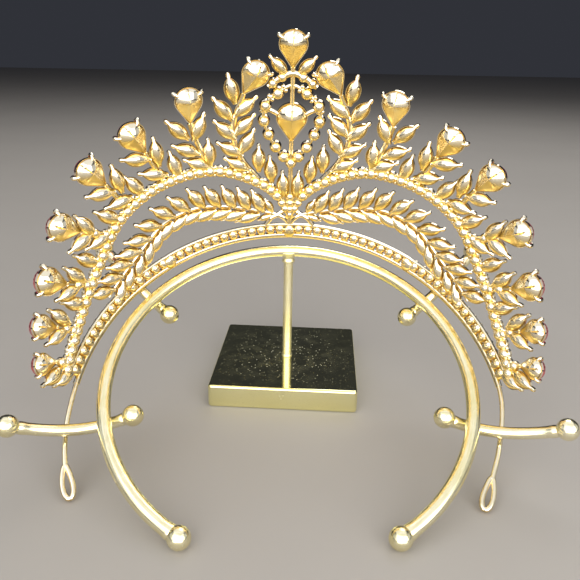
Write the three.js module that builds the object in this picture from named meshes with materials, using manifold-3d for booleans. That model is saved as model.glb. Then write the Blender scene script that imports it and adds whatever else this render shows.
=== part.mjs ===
// Rhinestone tiara resting on its wire display stand.
// Millimetres, +Z up. The origin is the centre of the base's underside, and the tiara's front faces +Y.
import * as THREE from 'three';
import { ConvexGeometry } from 'three/addons/geometries/ConvexGeometry.js';
import { mergeVertices } from 'three/addons/utils/BufferGeometryUtils.js';
import Module from 'manifold-3d';

const wasm = await Module();
wasm.setup();

// Driving dimensions of the stand, in mm and degrees
const GAP = 0.3;
const BASE = { side: 57, height: 9.2, corner: 2.2, bevel: 0.9, turn: -4.2 };
const POST = {
  radius: 1.86, footRadius: 2.3, footHeight: 0.6, collarRadius: 2.6, collarHeight: 4.6, saddle: 0.7,
};
const HOOP = { radius: 60, wire: 2.25, tilt: 27.4, topHeight: 54.8 };
const BALL_RADIUS = 3.47;
const ROD_RADIUS = 1.9;
// Arm pairs: angle round the hoop, reach from the hoop's centre, and sag below its plane as a parabola
const ARMS = [
  { name: 'upper', angle: 54, inner: 54.4, outer: 84, dipAt: 50, dip: -6.15, bend: 0.0153 },
  { name: 'lower', angle: 103.8, inner: 51.4, outer: 87.1, dipAt: 62.8, dip: -4.68, bend: 0.0178 },
];

// Driving dimensions of the tiara: s runs along the band from the middle, t up the flared wall
const TIARA = { tilt: 37, radius: 72.5, flare: 20, topY: -1, topZ: 63.8 };
const BAND = { halfAngle: 83, top: 2.9 };
// Band's section from its lower edge up: ribbon, round row of cups, rail
const BAND_SECTION = table(['t', 'half'], [
  [-3.4, 0.95], [-1.4, 0.95], [-0.7, 1.6], [1, 1.6], [1.8, 0.65], [2.9, 0.65],
]);
const LEG = {
  wire: 0.85, drop: 2.1, tuck: 0.7, overlap: 3, loopLength: 10.5, loopWidth: 3.2,
  liftFrom: 98, liftOver: 20,
};
// The two legs are bent by hand and differ: reach half way and at the loop, the loop's angle, and its lift
const LEGS = [
  { side: -1, radius: 72, loopRadius: 72.2, loopAngle: 109.2, lift: 0.3 },
  { side: 1, radius: 68.8, loopRadius: 66.8, loopAngle: 114, lift: 2.5 },
];
// Marquise leaf, then its shoulders, ridge and table as shares of its half length and half width
const LEAF = {
  length: 10.4, width: 3.9, keel: 1.4, crown: 1.1,
  shoulder: 0.38, ridge: 0.4, tableLength: 0.6, tableWidth: 0.5,
};
// Pear drop: cup outline, its pointed back, rim and pocket, then the stone's crown and table share
const PEAR = {
  length: 12.2, width: 9.2, tail: 0.8, back: 2.6, rim: 1.3, wall: 0.6, pocket: 0.8, tipInset: 1.6,
  crown: 2.4, table: 0.5,
};
const STEM_RADIUS = 0.85;
const LEAF_START = 0.4;
const ARCH_RADIUS = 1.5;

// Knots of the beaded arch and of the leaf branch below it, from the middle to the band's end
const ARCH = table(['s', 't'], [
  [2.7, 15.6], [10, 22], [24, 28.4], [41, 29.8], [57, 26], [72, 16.4], [88, 9.4], [103, 4.7],
]);
const BRANCH = table(['s', 't'], [
  [2.5, 8.4], [14, 12.6], [34, 16.2], [45, 15.2], [58, 9.2], [74, 4.2],
]);
const BRANCH_LEAVES = {
  first: 5, upper: 13, upperPitch: 5.5, upperTurn: -50, lower: 8, lowerPitch: 6.6, lowerTurn: 25,
};
// Sprigs: root on the arch, point of the drop, sideways bow, leaves and their spread, drop's lean and size
const SPRIGS = table(
  ['root', 'tipS', 'tipT', 'bow', 'outer', 'inner', 'spreadOut', 'spreadIn', 'lean', 'size'],
  [
    [8, 13, 54.4, 5.5, 5, 5, 30, -44, -36, 1],
    [25, 28.4, 47.6, 0.5, 3, 2, 38, -28, -8, 1],
    [40, 42.6, 43, 0, 2, 1, 44, -26, 17, 1],
    [53.5, 56.4, 39.4, 0, 2, 1, 50, -18, 21, 1],
    [62, 69.4, 31.4, 0, 1, 1, 43, -26, 36, 1],
    [76.5, 82.2, 21.6, 0, 1, 1, 36, -24, 32, 1],
    [90.5, 94, 15.4, 0, 1, 1, 46, -26, 30, 0.86],
    [100.5, 103, 9.6, 0, 1, 0, 40, 0, 33, 0.8],
  ],
);
const SPRIG_LEAVES = { outerFirst: 3, innerFirst: 4.5, pitch: 6.4 };
// Single leaves that stand on the arch between the sprigs
const ARCH_LEAVES = table(['s', 'lean'], [
  [3.3, -2], [6.9, -1], [35, 4], [48, 14], [57, 41], [66, 58], [70, 20], [83, 40], [101.5, 95],
]);
// Oval ring round the pendant, and the pieces on the middle stem
const RING = { at: 41.3, halfWidth: 9, halfHeight: 12.8, wire: 1.5, stem: 1.1 };
const PENDANT = { point: 36.6, size: 1.14, armFrom: 4.1, armTo: 6.9, armT: 48.4, armRise: 2 };
const CROWN = {
  point: 62.2, leafT: 60.8, leafLean: 54, leafStart: 0.8, leafScale: 0.72, linkS: 4.9, linkT: 60,
};

const RAD = Math.PI / 180;
const goldMaterial = new THREE.MeshStandardMaterial({ color: 0xd9a441, metalness: 1, roughness: 0.22 });
const standMaterial = new THREE.MeshStandardMaterial({ color: 0xd9c57f, metalness: 1, roughness: 0.18 });
const rubyMaterial = new THREE.MeshStandardMaterial({ color: 0x9c0d1e, metalness: 0, roughness: 0.05 });

function table(columns, rows) {
  return rows.map((row) => Object.fromEntries(columns.map((column, i) => [column, row[i]])));
}

// Solid of a closed geometry, for joining and cutting
function solid(geometry) {
  const bare = geometry.clone();
  bare.deleteAttribute('normal');
  if (bare.hasAttribute('uv')) bare.deleteAttribute('uv');
  const merged = mergeVertices(bare);
  return new wasm.Manifold(new wasm.Mesh({
    numProp: 3,
    vertProperties: new Float32Array(merged.attributes.position.array),
    triVerts: new Uint32Array(merged.index.array),
  }));
}

function joined(solids) {
  return solids.reduce((sum, next) => sum.add(next));
}

function mesh(name, body, material) {
  const shape = body.getMesh();
  const geometry = new THREE.BufferGeometry();
  geometry.setAttribute('position', new THREE.BufferAttribute(new Float32Array(shape.vertProperties), 3));
  geometry.setIndex(new THREE.BufferAttribute(new Uint32Array(shape.triVerts), 1));
  geometry.computeVertexNormals();
  const piece = new THREE.Mesh(geometry, material);
  piece.name = name;
  return piece;
}

// Round tube along a curve
function tube(curve, radius, sides, steps) {
  const corners = [];
  for (let i = 0; i < sides; i += 1) {
    const angle = (i + 0.5) * 2 * Math.PI / sides;
    corners.push(new THREE.Vector2(radius * Math.cos(angle), radius * Math.sin(angle)));
  }
  const section = new THREE.Shape(corners);
  return solid(new THREE.ExtrudeGeometry(section, { steps, bevelEnabled: false, extrudePath: curve }));
}

// Closed ring of tube through the points at(turn)
function loop(at, radius, sides, steps) {
  const points = Array.from({ length: 16 }, (_, i) => at(i * Math.PI / 8));
  const curve = new THREE.CatmullRomCurve3(points, true);
  return solid(new THREE.TubeGeometry(curve, steps, radius, sides, true));
}

// Ball with its poles up and down, so that it can stand on its lowest point
function ball(centre) {
  const geometry = new THREE.SphereGeometry(BALL_RADIUS, 10, 5).rotateX(Math.PI / 2 - HOOP.tilt * RAD);
  return solid(geometry.translate(centre.x, centre.y, centre.z));
}

// Stand: square base with softened edges
function standBase() {
  const half = BASE.side / 2 - BASE.bevel;
  const corner = BASE.corner;
  const outline = new THREE.Shape();
  const turns = [[1, 1], [-1, 1], [-1, -1], [1, -1]];
  turns.forEach(([x, y], i) => {
    const from = i * Math.PI / 2;
    outline.absarc(x * (half - corner), y * (half - corner), corner, from, from + Math.PI / 2);
  });
  const geometry = new THREE.ExtrudeGeometry(outline, {
    depth: BASE.height - 2 * BASE.bevel,
    bevelThickness: BASE.bevel,
    bevelSize: BASE.bevel,
    bevelSegments: 1,
    curveSegments: 2,
  });
  geometry.translate(0, 0, BASE.bevel);
  const piece = mesh('stand_base', solid(geometry), standMaterial);
  piece.rotation.z = BASE.turn * RAD;
  return piece;
}

// Stand: post with a foot ring and a collar that is saddled under the hoop
function standPost() {
  const bottom = BASE.height + GAP;
  const top = HOOP.topHeight - POST.saddle;
  const profile = [
    [0, bottom],
    [POST.footRadius, bottom],
    [POST.footRadius, bottom + POST.footHeight],
    [POST.radius, bottom + 2 * POST.footHeight],
    [POST.radius, top - POST.collarHeight],
    [POST.collarRadius, top - POST.collarHeight + POST.footHeight],
    [POST.collarRadius, top],
    [0, top],
  ].map(([x, y]) => new THREE.Vector2(x, y));
  const post = new THREE.LatheGeometry(profile, 12).rotateX(Math.PI / 2);
  const reach = 2 * POST.collarRadius;
  const clear = new THREE.CylinderGeometry(HOOP.wire + 2 * GAP, HOOP.wire + 2 * GAP, 2 * reach, 16);
  clear.rotateZ(Math.PI / 2).translate(0, 0, HOOP.topHeight);
  return mesh('stand_post', solid(post).subtract(solid(clear)), standMaterial);
}

// Stand: open hoop in its own plane, +Y towards its top, ending where its two balls stand on the table
function standHoop() {
  const rise = Math.sin(HOOP.tilt * RAD) * HOOP.radius;
  const ends = Math.acos((BALL_RADIUS - HOOP.topHeight + rise) / rise);
  const curve = new THREE.CatmullRomCurve3(
    Array.from({ length: 25 }, (_, i) => hoopPoint((i / 12 - 1) * ends, HOOP.radius, 0)),
  );
  const bar = tube(curve, HOOP.wire, 10, 32);
  return mesh('stand_hoop', joined([bar, ball(hoopPoint(-ends, HOOP.radius, 0)),
    ball(hoopPoint(ends, HOOP.radius, 0))]), standMaterial);
}

function hoopPoint(angle, radius, height) {
  return new THREE.Vector3(radius * Math.sin(angle), radius * Math.cos(angle), height);
}

// Stand: cradle arm, a bent rod with a ball at each end, fixed under the hoop
function standArm(row, side) {
  const sag = (r) => row.dip + row.bend * (r - row.dipAt) ** 2;
  const along = (share) => {
    const r = row.inner + share * (row.outer - row.inner);
    return hoopPoint(side * row.angle * RAD, r, sag(r));
  };
  const curve = new THREE.CatmullRomCurve3([0, 0.25, 0.5, 0.75, 1].map(along));
  const name = `stand_arm_${row.name}_${side < 0 ? 'left' : 'right'}`;
  return mesh(name, joined([tube(curve, ROD_RADIUS, 8, 6), ball(along(0)), ball(along(1))]), standMaterial);
}

// Point of the tiara's flared wall, out being the distance in front of it
function wall(s, t, out) {
  const lean = TIARA.flare * RAD;
  const angle = s / TIARA.radius;
  const r = TIARA.radius + t * Math.sin(lean) + out * Math.cos(lean);
  const z = t * Math.cos(lean) - out * Math.sin(lean);
  return new THREE.Vector3(r * Math.sin(angle), r * Math.cos(angle), z);
}

// Stretch of the wall's rings at height t against the band
function spread(t) {
  return 1 + t * Math.sin(TIARA.flare * RAD) / TIARA.radius;
}

// Wall point reached from a place by going along a lean and across it, mirrored for the left side
function onWall(place, along, across, out) {
  const lean = place.lean * RAD;
  const ds = (along * Math.sin(lean) + across * Math.cos(lean)) / spread(place.t);
  const dt = along * Math.cos(lean) - across * Math.sin(lean);
  return wall((place.side ?? 1) * (place.s + ds), place.t + dt, out);
}

function convex(points) {
  return solid(new ConvexGeometry(points));
}

// Marquise leaf: keeled boat behind, table-cut stone in front
function leaf(place, start, scale = 1) {
  const half = LEAF.length * scale / 2;
  const wide = LEAF.width * scale / 2;
  const at = (x, y, out) => onWall(place, start + half + x * half, y * wide, out * scale);
  const girdle = [at(-1, 0, 0), at(1, 0, 0)];
  const shoulders = [-1, 1].flatMap((x) => [at(x * LEAF.shoulder, -1, 0), at(x * LEAF.shoulder, 1, 0)]);
  const keel = [-1, 1].map((x) => at(x * LEAF.ridge, 0, -LEAF.keel));
  const stoneTable = [-1, 1].flatMap((x) => [
    at(x * LEAF.tableLength, 0, LEAF.crown),
    at(0, x * LEAF.tableWidth, LEAF.crown),
  ]);
  return convex([...girdle, ...shoulders, ...keel, ...stoneTable]);
}

// Pear outline round a place at its point: the point, then the round end
function pearRing(place, size, inset, out) {
  const round = PEAR.width / 2 * size;
  const centre = PEAR.length * size - round;
  const half = Math.PI / 2 + Math.asin(round / centre);
  const points = [onWall(place, inset * PEAR.tipInset - PEAR.tail, 0, out)];
  for (let i = 0; i < 9; i += 1) {
    const angle = -half + 2 * half * i / 8;
    const along = centre + (round - inset) * Math.cos(angle);
    points.push(onWall(place, along, (round - inset) * Math.sin(angle), out));
  }
  return points;
}

// Pear cup: pointed back and a rim round the pocket that holds the stone
function pearCup(place, size) {
  const apex = onWall(place, (PEAR.length - PEAR.width / 2) * size, 0, -PEAR.back * size);
  const body = convex([apex, ...pearRing(place, size, 0, 0), ...pearRing(place, size, 0, PEAR.rim)]);
  const floor = pearRing(place, size, PEAR.wall, PEAR.rim - PEAR.pocket);
  const mouth = pearRing(place, size, PEAR.wall, PEAR.rim + PEAR.pocket);
  return body.subtract(convex([...floor, ...mouth]));
}

// Pear stone: girdle in the cup's pocket, bevelled crown and table
function pearStone(name, place, size) {
  const girdle = PEAR.rim - PEAR.pocket + GAP;
  const inset = PEAR.wall + GAP;
  const points = [
    ...pearRing(place, size, inset, girdle),
    ...pearRing(place, size, (1 - PEAR.table) * PEAR.width / 2 * size, girdle + PEAR.crown * size),
  ];
  return mesh(name, convex(points), rubyMaterial);
}

// Curve through wall places, each with s, t and optional out
function wallCurve(places, side = 1) {
  return new THREE.CatmullRomCurve3(places.map((p) => wall(side * p.s, p.t, p.out ?? 0)));
}

// Place on a plane curve of s and t at a distance along it, with its lean
function placeAlong(curve, distance, side) {
  const share = THREE.MathUtils.clamp(distance / curve.getLength(), 0, 1);
  const p = curve.getPointAt(share);
  const d = curve.getTangentAt(share);
  return { s: p.x, t: p.y, side, lean: Math.atan2(d.x * spread(p.y), d.y) / RAD };
}

function flatCurve(places) {
  return new THREE.SplineCurve(places.map((p) => new THREE.Vector2(p.s, p.t)));
}

// Height of the arch above a place on the band
function archAt(s) {
  const curve = flatCurve(ARCH);
  let share = 0;
  while (share < 1 && curve.getPoint(share).x < s) share += 0.002;
  return { s, t: curve.getPoint(share).y };
}

// Line of a sprig's stem, bowed outwards in the middle
function sprigLine(row) {
  const root = archAt(row.root);
  const middle = { s: (root.s + row.tipS) / 2 + row.bow, t: (root.t + row.tipT) / 2 };
  return flatCurve([root, middle, { s: row.tipS, t: row.tipT }]);
}

function turned(place, turn) {
  return { ...place, lean: place.lean + turn };
}

// Sprig: stem, leaves on both sides of it and the drop's cup at its end
function sprig(row, side) {
  const line = sprigLine(row);
  const length = line.getLength();
  const places = line.getSpacedPoints(4).map((p) => ({ s: p.x, t: p.y }));
  const pieces = [tube(wallCurve(places, side), STEM_RADIUS, 5, Math.ceil(length / 6))];
  for (let i = 0; i < row.outer; i += 1) {
    const at = length - SPRIG_LEAVES.outerFirst - i * SPRIG_LEAVES.pitch;
    pieces.push(leaf(turned(placeAlong(line, at, side), row.spreadOut), LEAF_START));
  }
  for (let i = 0; i < row.inner; i += 1) {
    const at = length - SPRIG_LEAVES.innerFirst - i * SPRIG_LEAVES.pitch;
    pieces.push(leaf(turned(placeAlong(line, at, side), row.spreadIn), LEAF_START));
  }
  pieces.push(pearCup(dropPlace(row, side), row.size));
  return joined(pieces);
}

function dropPlace(row, side) {
  return { s: row.tipS, t: row.tipT, lean: row.lean, side };
}

// Spray of one side: arch, sprigs, single leaves, leaf branch, and the foot that stands on the band
function spray(side) {
  const arch = tube(wallCurve(ARCH, side), ARCH_RADIUS, 8, 17);
  const singles = ARCH_LEAVES.map((row) => (
    leaf({ ...archAt(row.s), lean: row.lean, side }, ARCH_RADIUS - LEAF_START)
  ));
  const stem = tube(wallCurve(BRANCH, side), STEM_RADIUS, 5, 14);
  const line = flatCurve(BRANCH);
  const leaves = [];
  for (let i = 0; i < BRANCH_LEAVES.upper; i += 1) {
    const at = BRANCH_LEAVES.first + i * BRANCH_LEAVES.upperPitch;
    leaves.push(leaf(turned(placeAlong(line, at, side), BRANCH_LEAVES.upperTurn), LEAF_START));
  }
  for (let i = 0; i < BRANCH_LEAVES.lower; i += 1) {
    const at = BRANCH_LEAVES.first + i * BRANCH_LEAVES.lowerPitch;
    leaves.push(leaf(turned(placeAlong(line, at, side), BRANCH_LEAVES.lowerTurn), LEAF_START));
  }
  const seat = { s: BRANCH[0].s, t: BAND.top + GAP };
  const foot = tube(wallCurve([ARCH[0], seat], side), STEM_RADIUS, 5, 1);
  const name = `tiara_spray_${side < 0 ? 'left' : 'right'}`;
  const pieces = [arch, ...singles, stem, foot, ...leaves, ...SPRIGS.map((row) => sprig(row, side))];
  return mesh(name, joined(pieces), goldMaterial);
}

// Centre: stem, oval ring, pendant cup with its two arms, top cup, two small leaves and the link below them
function centre() {
  const ring = loop((turn) => wall(
    RING.halfWidth * Math.sin(turn) / spread(RING.at), RING.at + RING.halfHeight * Math.cos(turn), 0,
  ), RING.wire, 8, 20);
  const ringFoot = RING.at - RING.halfHeight;
  const pendantEnd = PENDANT.point + PEAR.length * PENDANT.size - PEAR.wall / 2;
  const stems = [
    { from: BAND.top + GAP, to: ringFoot, radius: RING.stem },
    { from: ringFoot, to: PENDANT.point, radius: STEM_RADIUS },
    { from: pendantEnd, to: CROWN.point, radius: STEM_RADIUS },
  ].map((row) => tube(wallCurve([{ s: 0, t: row.from }, { s: 0, t: row.to }]), row.radius, 5, 1));
  const armPlaces = [
    { s: PENDANT.armFrom, t: PENDANT.armT - PENDANT.armRise },
    { s: PENDANT.armTo, t: PENDANT.armT },
  ];
  const arms = [-1, 1].map((side) => tube(wallCurve(armPlaces, side), STEM_RADIUS, 5, 1));
  const leaves = [-1, 1].map((side) => (
    leaf({ s: 0, t: CROWN.leafT, lean: CROWN.leafLean, side }, CROWN.leafStart, CROWN.leafScale)
  ));
  const linkPlaces = [-1, 0, 1].map((side) => ({ s: side * CROWN.linkS, t: CROWN.linkT }));
  const link = tube(wallCurve(linkPlaces), STEM_RADIUS, 5, 2);
  const cups = [pearCup(pendantPlace(), PENDANT.size), pearCup(crownPlace(), 1)];
  return mesh('tiara_centre', joined([ring, ...stems, ...arms, link, ...leaves, ...cups]), goldMaterial);
}

function pendantPlace() {
  return { s: 0, t: PENDANT.point, lean: 0 };
}

function crownPlace() {
  return { s: 0, t: CROWN.point, lean: 0 };
}

// Band strip: ribbon, round row of cups and rail as one section swept round the wall
function bandStrip() {
  const ends = BAND.halfAngle * RAD;
  const corner = (t, out) => {
    const point = wall(0, t, out);
    return new THREE.Vector2(-point.z, point.y - TIARA.radius);
  };
  const back = BAND_SECTION.map((row) => corner(row.t, -row.half));
  const front = BAND_SECTION.map((row) => corner(row.t, row.half)).reverse();
  const curve = new THREE.CatmullRomCurve3(
    Array.from({ length: 25 }, (_, i) => hoopPoint((i / 12 - 1) * ends, TIARA.radius, 0)),
  );
  const section = new THREE.Shape([...back, ...front]);
  return solid(new THREE.ExtrudeGeometry(section, { steps: 36, bevelEnabled: false, extrudePath: curve }));
}

// Leg of the band: a wire that runs on from its end to a long loop
function leg(row) {
  const raised = (angle) => row.lift * Math.max(0, angle - LEG.liftFrom) / LEG.liftOver;
  const reach = (angle, radius) => hoopPoint(row.side * angle * RAD, radius, raised(angle) - LEG.drop);
  const loopHalf = LEG.loopLength / 2 / row.loopRadius / RAD;
  const wire = new THREE.CatmullRomCurve3([
    reach(BAND.halfAngle - LEG.overlap, TIARA.radius - LEG.tuck),
    reach(BAND.halfAngle + LEG.overlap, TIARA.radius - LEG.tuck - GAP),
    reach((BAND.halfAngle + row.loopAngle) / 2, row.radius),
    reach(row.loopAngle - loopHalf + 0.5, row.loopRadius),
  ]);
  const end = loop((turn) => reach(
    row.loopAngle + loopHalf * Math.cos(turn), row.loopRadius + LEG.loopWidth / 2 * Math.sin(turn),
  ), LEG.wire, 6, 12);
  return tube(wire, LEG.wire, 6, 7).add(end);
}

function band() {
  return mesh('tiara_band', joined([bandStrip(), ...LEGS.map(leg)]), goldMaterial);
}

// Assembly
const hoopGroup = new THREE.Group();
hoopGroup.rotation.x = HOOP.tilt * RAD;
hoopGroup.position.set(
  0,
  -HOOP.radius * Math.cos(HOOP.tilt * RAD),
  HOOP.topHeight - HOOP.radius * Math.sin(HOOP.tilt * RAD),
);
hoopGroup.add(standHoop());
for (const row of ARMS) hoopGroup.add(standArm(row, -1), standArm(row, 1));

const tiaraGroup = new THREE.Group();
tiaraGroup.rotation.x = TIARA.tilt * RAD;
tiaraGroup.position.set(
  0,
  TIARA.topY - TIARA.radius * Math.cos(TIARA.tilt * RAD),
  TIARA.topZ - TIARA.radius * Math.sin(TIARA.tilt * RAD),
);
tiaraGroup.add(band(), spray(-1), spray(1), centre());
tiaraGroup.add(pearStone('stone_pendant', pendantPlace(), PENDANT.size));
tiaraGroup.add(pearStone('stone_top', crownPlace(), 1));
for (const side of [-1, 1]) {
  SPRIGS.forEach((row, i) => {
    const name = `stone_${side < 0 ? 'left' : 'right'}_${i + 1}`;
    tiaraGroup.add(pearStone(name, dropPlace(row, side), row.size));
  });
}

const tiaraOnStand = new THREE.Group();
tiaraOnStand.add(standBase(), standPost(), hoopGroup, tiaraGroup);

export default tiaraOnStand;
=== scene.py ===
"""Rhinestone tiara resting on its wire display stand: the looks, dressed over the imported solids."""
import math

import bmesh
import bpy
import numpy as np
from mathutils import Matrix


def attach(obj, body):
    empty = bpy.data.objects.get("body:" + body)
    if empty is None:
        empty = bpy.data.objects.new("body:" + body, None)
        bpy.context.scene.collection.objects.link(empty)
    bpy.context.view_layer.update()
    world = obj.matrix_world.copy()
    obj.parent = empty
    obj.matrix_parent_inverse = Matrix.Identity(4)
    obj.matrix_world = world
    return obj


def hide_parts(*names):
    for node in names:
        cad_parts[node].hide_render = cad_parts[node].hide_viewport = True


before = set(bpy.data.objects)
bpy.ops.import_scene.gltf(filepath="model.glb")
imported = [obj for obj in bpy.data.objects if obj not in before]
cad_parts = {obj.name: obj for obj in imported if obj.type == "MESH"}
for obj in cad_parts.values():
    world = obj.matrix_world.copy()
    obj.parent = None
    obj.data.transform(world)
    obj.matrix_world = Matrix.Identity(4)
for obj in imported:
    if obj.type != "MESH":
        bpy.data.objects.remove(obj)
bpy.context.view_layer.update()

# Camera: behind the tiara and a little above its top, looking down on the stand, with the lens
# and the slight roll of the photograph.
eye = np.array([-0.00437, -0.23527, 0.13058])
pitch, yaw, roll = 0.374, 0.022, -0.019
focal_length, sensor_width, nearest = 38.94, 36.0, 0.01


def new_object(name, data):
    """An object of the given data, linked to the scene."""
    made = bpy.data.objects.new(name, data)
    bpy.context.scene.collection.objects.link(made)
    return made


def stood_at(x_axis, y_axis, z_axis, place):
    """Matrix whose columns are three axes and a place."""
    columns = np.column_stack([x_axis, y_axis, z_axis, place])
    return Matrix(np.vstack([columns, [0, 0, 0, 1]]).tolist())


ahead = np.array([math.sin(yaw) * math.cos(pitch), math.cos(yaw) * math.cos(pitch), -math.sin(pitch)])
level = np.array([math.cos(yaw), -math.sin(yaw), 0.0])
below = np.cross(ahead, level)
right = math.cos(roll) * level + math.sin(roll) * below
down = math.cos(roll) * below - math.sin(roll) * level
lens = bpy.data.cameras.new("camera")
lens.sensor_width = sensor_width
lens.lens = focal_length
lens.clip_start = nearest
camera = new_object("camera", lens)
camera.matrix_world = stood_at(right, -down, -ahead, eye)
bpy.context.scene.camera = camera

# Stand base: a heavy square block, plated in pale lemon gold and mirror polished, with softened edges.
# The post is screwed into the middle of its top, and it sits turned by a few degrees. Fine dust lies
# on it, thickest round the post.
base_side, base_height, base_corner, base_edge = 57.0, 9.2, 1.5, 0.9
base_turn = math.radians(-4.2)
base_deep, base_bright, dust_colour = (0.90, 0.84, 0.42, 1), (0.98, 0.94, 0.56, 1), (0.95, 0.90, 0.66, 1)


class Tap:
    """A socket of a material's nodes, so that shader maths is written as plain sums."""

    def __init__(self, tree, socket=None):
        self.tree, self.socket = tree, socket

    def node(self, kind, settings=None, sockets=None, out=0):
        """Any node: its settings are set first, then the values or links of its sockets."""
        made = self.tree.nodes.new(kind)
        for key, value in (settings or {}).items():
            setattr(made, key, value)
        for key, value in (sockets or {}).items():
            if isinstance(value, Tap):
                self.tree.links.new(value.socket, made.inputs[key])
            else:
                made.inputs[key].default_value = value
        return Tap(self.tree, made.outputs[out])

    def sibling(self, out):
        """Another output of the same node."""
        return Tap(self.tree, self.socket.node.outputs[out])

    def sum_of(self, operation, first, second):
        """One step of maths between two values."""
        return self.node("ShaderNodeMath", {"operation": operation}, {0: first, 1: second})

    def __add__(self, other):
        return self.sum_of("ADD", self, other)

    def __radd__(self, other):
        return self.sum_of("ADD", other, self)

    def __sub__(self, other):
        return self.sum_of("SUBTRACT", self, other)

    def __rsub__(self, other):
        return self.sum_of("SUBTRACT", other, self)

    def __mul__(self, other):
        return self.sum_of("MULTIPLY", self, other)

    def __rmul__(self, other):
        return self.sum_of("MULTIPLY", other, self)

    def place(self):
        """The piece's own coordinates, in metres."""
        return self.node("ShaderNodeTexCoord", out="Object")

    def read(self, name, out):
        """An attribute of the mesh, as a vector or as a number."""
        return self.node("ShaderNodeAttribute", {"attribute_name": name}, out=out)

    def scaled(self, factors):
        """A vector with each part times its own factor."""
        return self.node("ShaderNodeVectorMath", {"operation": "MULTIPLY"}, {0: self, 1: factors})

    def noise(self, scale, detail=2.0, rough=0.5):
        """Soft noise over these coordinates."""
        sockets = {"Vector": self, "Scale": scale, "Detail": detail, "Roughness": rough}
        return self.node("ShaderNodeTexNoise", {}, sockets)

    def step(self, low, high):
        """Nought below low, one above high, and a smooth rise between."""
        return self.node("ShaderNodeMapRange", {"interpolation_type": "SMOOTHSTEP"},
                         {"Value": self, "From Min": low, "From Max": high})

    def blend(self, first, second):
        """A colour from first to second as this value goes from nought to one."""
        return self.node("ShaderNodeMix", {"data_type": "RGBA"}, {0: self, 6: first, 7: second}, 2)

    def feed(self, shader, name):
        """Links this value to a socket of the shader."""
        self.tree.links.new(self.socket, shader.inputs[name])

    def bump(self, shader, strength, distance):
        """Feeds the shader's normal with this value as a height."""
        sockets = {"Strength": strength, "Distance": distance, "Height": self}
        self.node("ShaderNodeBump", {}, sockets).feed(shader, "Normal")


def new_finish(name, fixed):
    """A material with one shader, its even values set on its own sockets, and a tap into its nodes."""
    material = bpy.data.materials.new(name)
    material.use_nodes = True
    shader = material.node_tree.nodes["Principled BSDF"]
    for socket, value in fixed.items():
        shader.inputs[socket].default_value = value
    return material, shader, Tap(material.node_tree)


sky_way = np.array([0.0, -0.36, 0.93], np.float32)
glint_seed = 5


def make_piece(name, shells, finish, nodes, crease=35.0, facets=False):
    """One object of closed shells, in millimetres. A shell is a grid of points (..., rows, columns, 3)
    whose columns run round and whose end rows shrink to a point; each point joins the next in its row and
    in its column. A shell may come with its lie, a vector for each point that its finish reads. A cut
    stone gets a random glint for each facet, and any other piece how far each corner looks skyward."""
    points, faces, lies, start = [], [], [], 0
    for shell in shells:
        grid, lie = shell if isinstance(shell, tuple) else (shell, np.zeros(3))
        rows, cols = grid.shape[-3:-1]
        many = grid.reshape(-1, rows * cols, 3)
        here = np.arange(rows - 1)[:, None] * cols + np.arange(cols)
        beside = np.arange(rows - 1)[:, None] * cols + (np.arange(cols) + 1) % cols
        first = start + np.arange(len(many))[:, None, None] * rows * cols
        corners = [[here, beside, beside + cols, here + cols]]
        if facets:
            corners = [[here, beside, here + cols], [beside, beside + cols, here + cols]]
        faces += [(np.stack(c, -1).reshape(-1, len(c)) + first).reshape(-1, len(c)) for c in corners]
        points.append(many.reshape(-1, 3))
        lies.append(np.broadcast_to(lie, grid.shape).reshape(-1, 3))
        start += len(many) * rows * cols
    mesh = bpy.data.meshes.new(name)
    metres = np.concatenate(points) * 0.001
    mesh.from_pydata(metres.tolist(), [], [face for part in faces for face in part.tolist()])
    lie_of = mesh.attributes.new("lie", "FLOAT_VECTOR", "POINT")
    lie_of.data.foreach_set("vector", np.concatenate(lies).ravel())
    body = bmesh.new()
    body.from_mesh(mesh)
    bmesh.ops.remove_doubles(body, verts=body.verts, dist=1e-7)
    bmesh.ops.recalc_face_normals(body, faces=body.faces)
    body.to_mesh(mesh)
    body.free()
    if facets:
        # A random painted glint for each facet of a cut stone, which its finish reads as painted
        # reflection.
        glint = np.random.default_rng(glint_seed).random(len(mesh.polygons))
        mesh.attributes.new("glint", "FLOAT", "FACE").data.foreach_set("value", glint)
    else:
        mesh.polygons.foreach_set("use_smooth", np.ones(len(mesh.polygons), bool))
        mesh.set_sharp_from_angle(angle=math.radians(crease))
        # How far each corner looks up towards the boxes: the tiara's finish reads it to paint light on
        # faces that look up.
        facing = np.empty(3 * len(mesh.loops), np.float32)
        mesh.corner_normals.foreach_get("vector", facing)
        skyward = facing.reshape(-1, 3) @ sky_way
        mesh.attributes.new("skyward", "FLOAT", "CORNER").data.foreach_set("value", skyward)
    mesh.materials.append(finish)
    piece = new_object(name, mesh)
    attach(piece, "root")
    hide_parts(*nodes)


def rounded_block(side, height, corner, edge, turn):
    """A rounded square carried up a profile: two quarter rounds of the edge, and a flat at each end that is
    shut to a point."""
    quarter = np.linspace(0, math.pi / 2, 6)
    steep, shallow = edge * (1 - np.sin(quarter)), edge * (1 - np.cos(quarter))
    flat_rim = [edge + 0.3] * 2
    inset = np.concatenate([flat_rim, steep, shallow, flat_rim])
    rise = np.concatenate([[0, 0], shallow, height - steep, [height, height]])
    opened = np.ones(len(rise))
    opened[[0, -1]] = 0
    angle = (np.arange(4)[:, None] + np.linspace(0, 1, 9)).ravel() * math.pi / 2
    middle = (np.repeat(np.arange(4), 9) + 0.5) * math.pi / 2
    way = np.stack([np.cos(angle), np.sin(angle)], -1)
    heart = np.sign(np.stack([np.cos(middle), np.sin(middle)], -1)) * (side / 2 - corner)
    plan = (heart + (corner - inset)[:, None, None] * way) * opened[:, None, None]
    c, s = math.cos(turn), math.sin(turn)
    x = plan[..., 0] * c - plan[..., 1] * s
    y = plan[..., 0] * s + plan[..., 1] * c
    return np.stack([x, y, np.broadcast_to(rise[:, None], x.shape)], -1)


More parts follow.
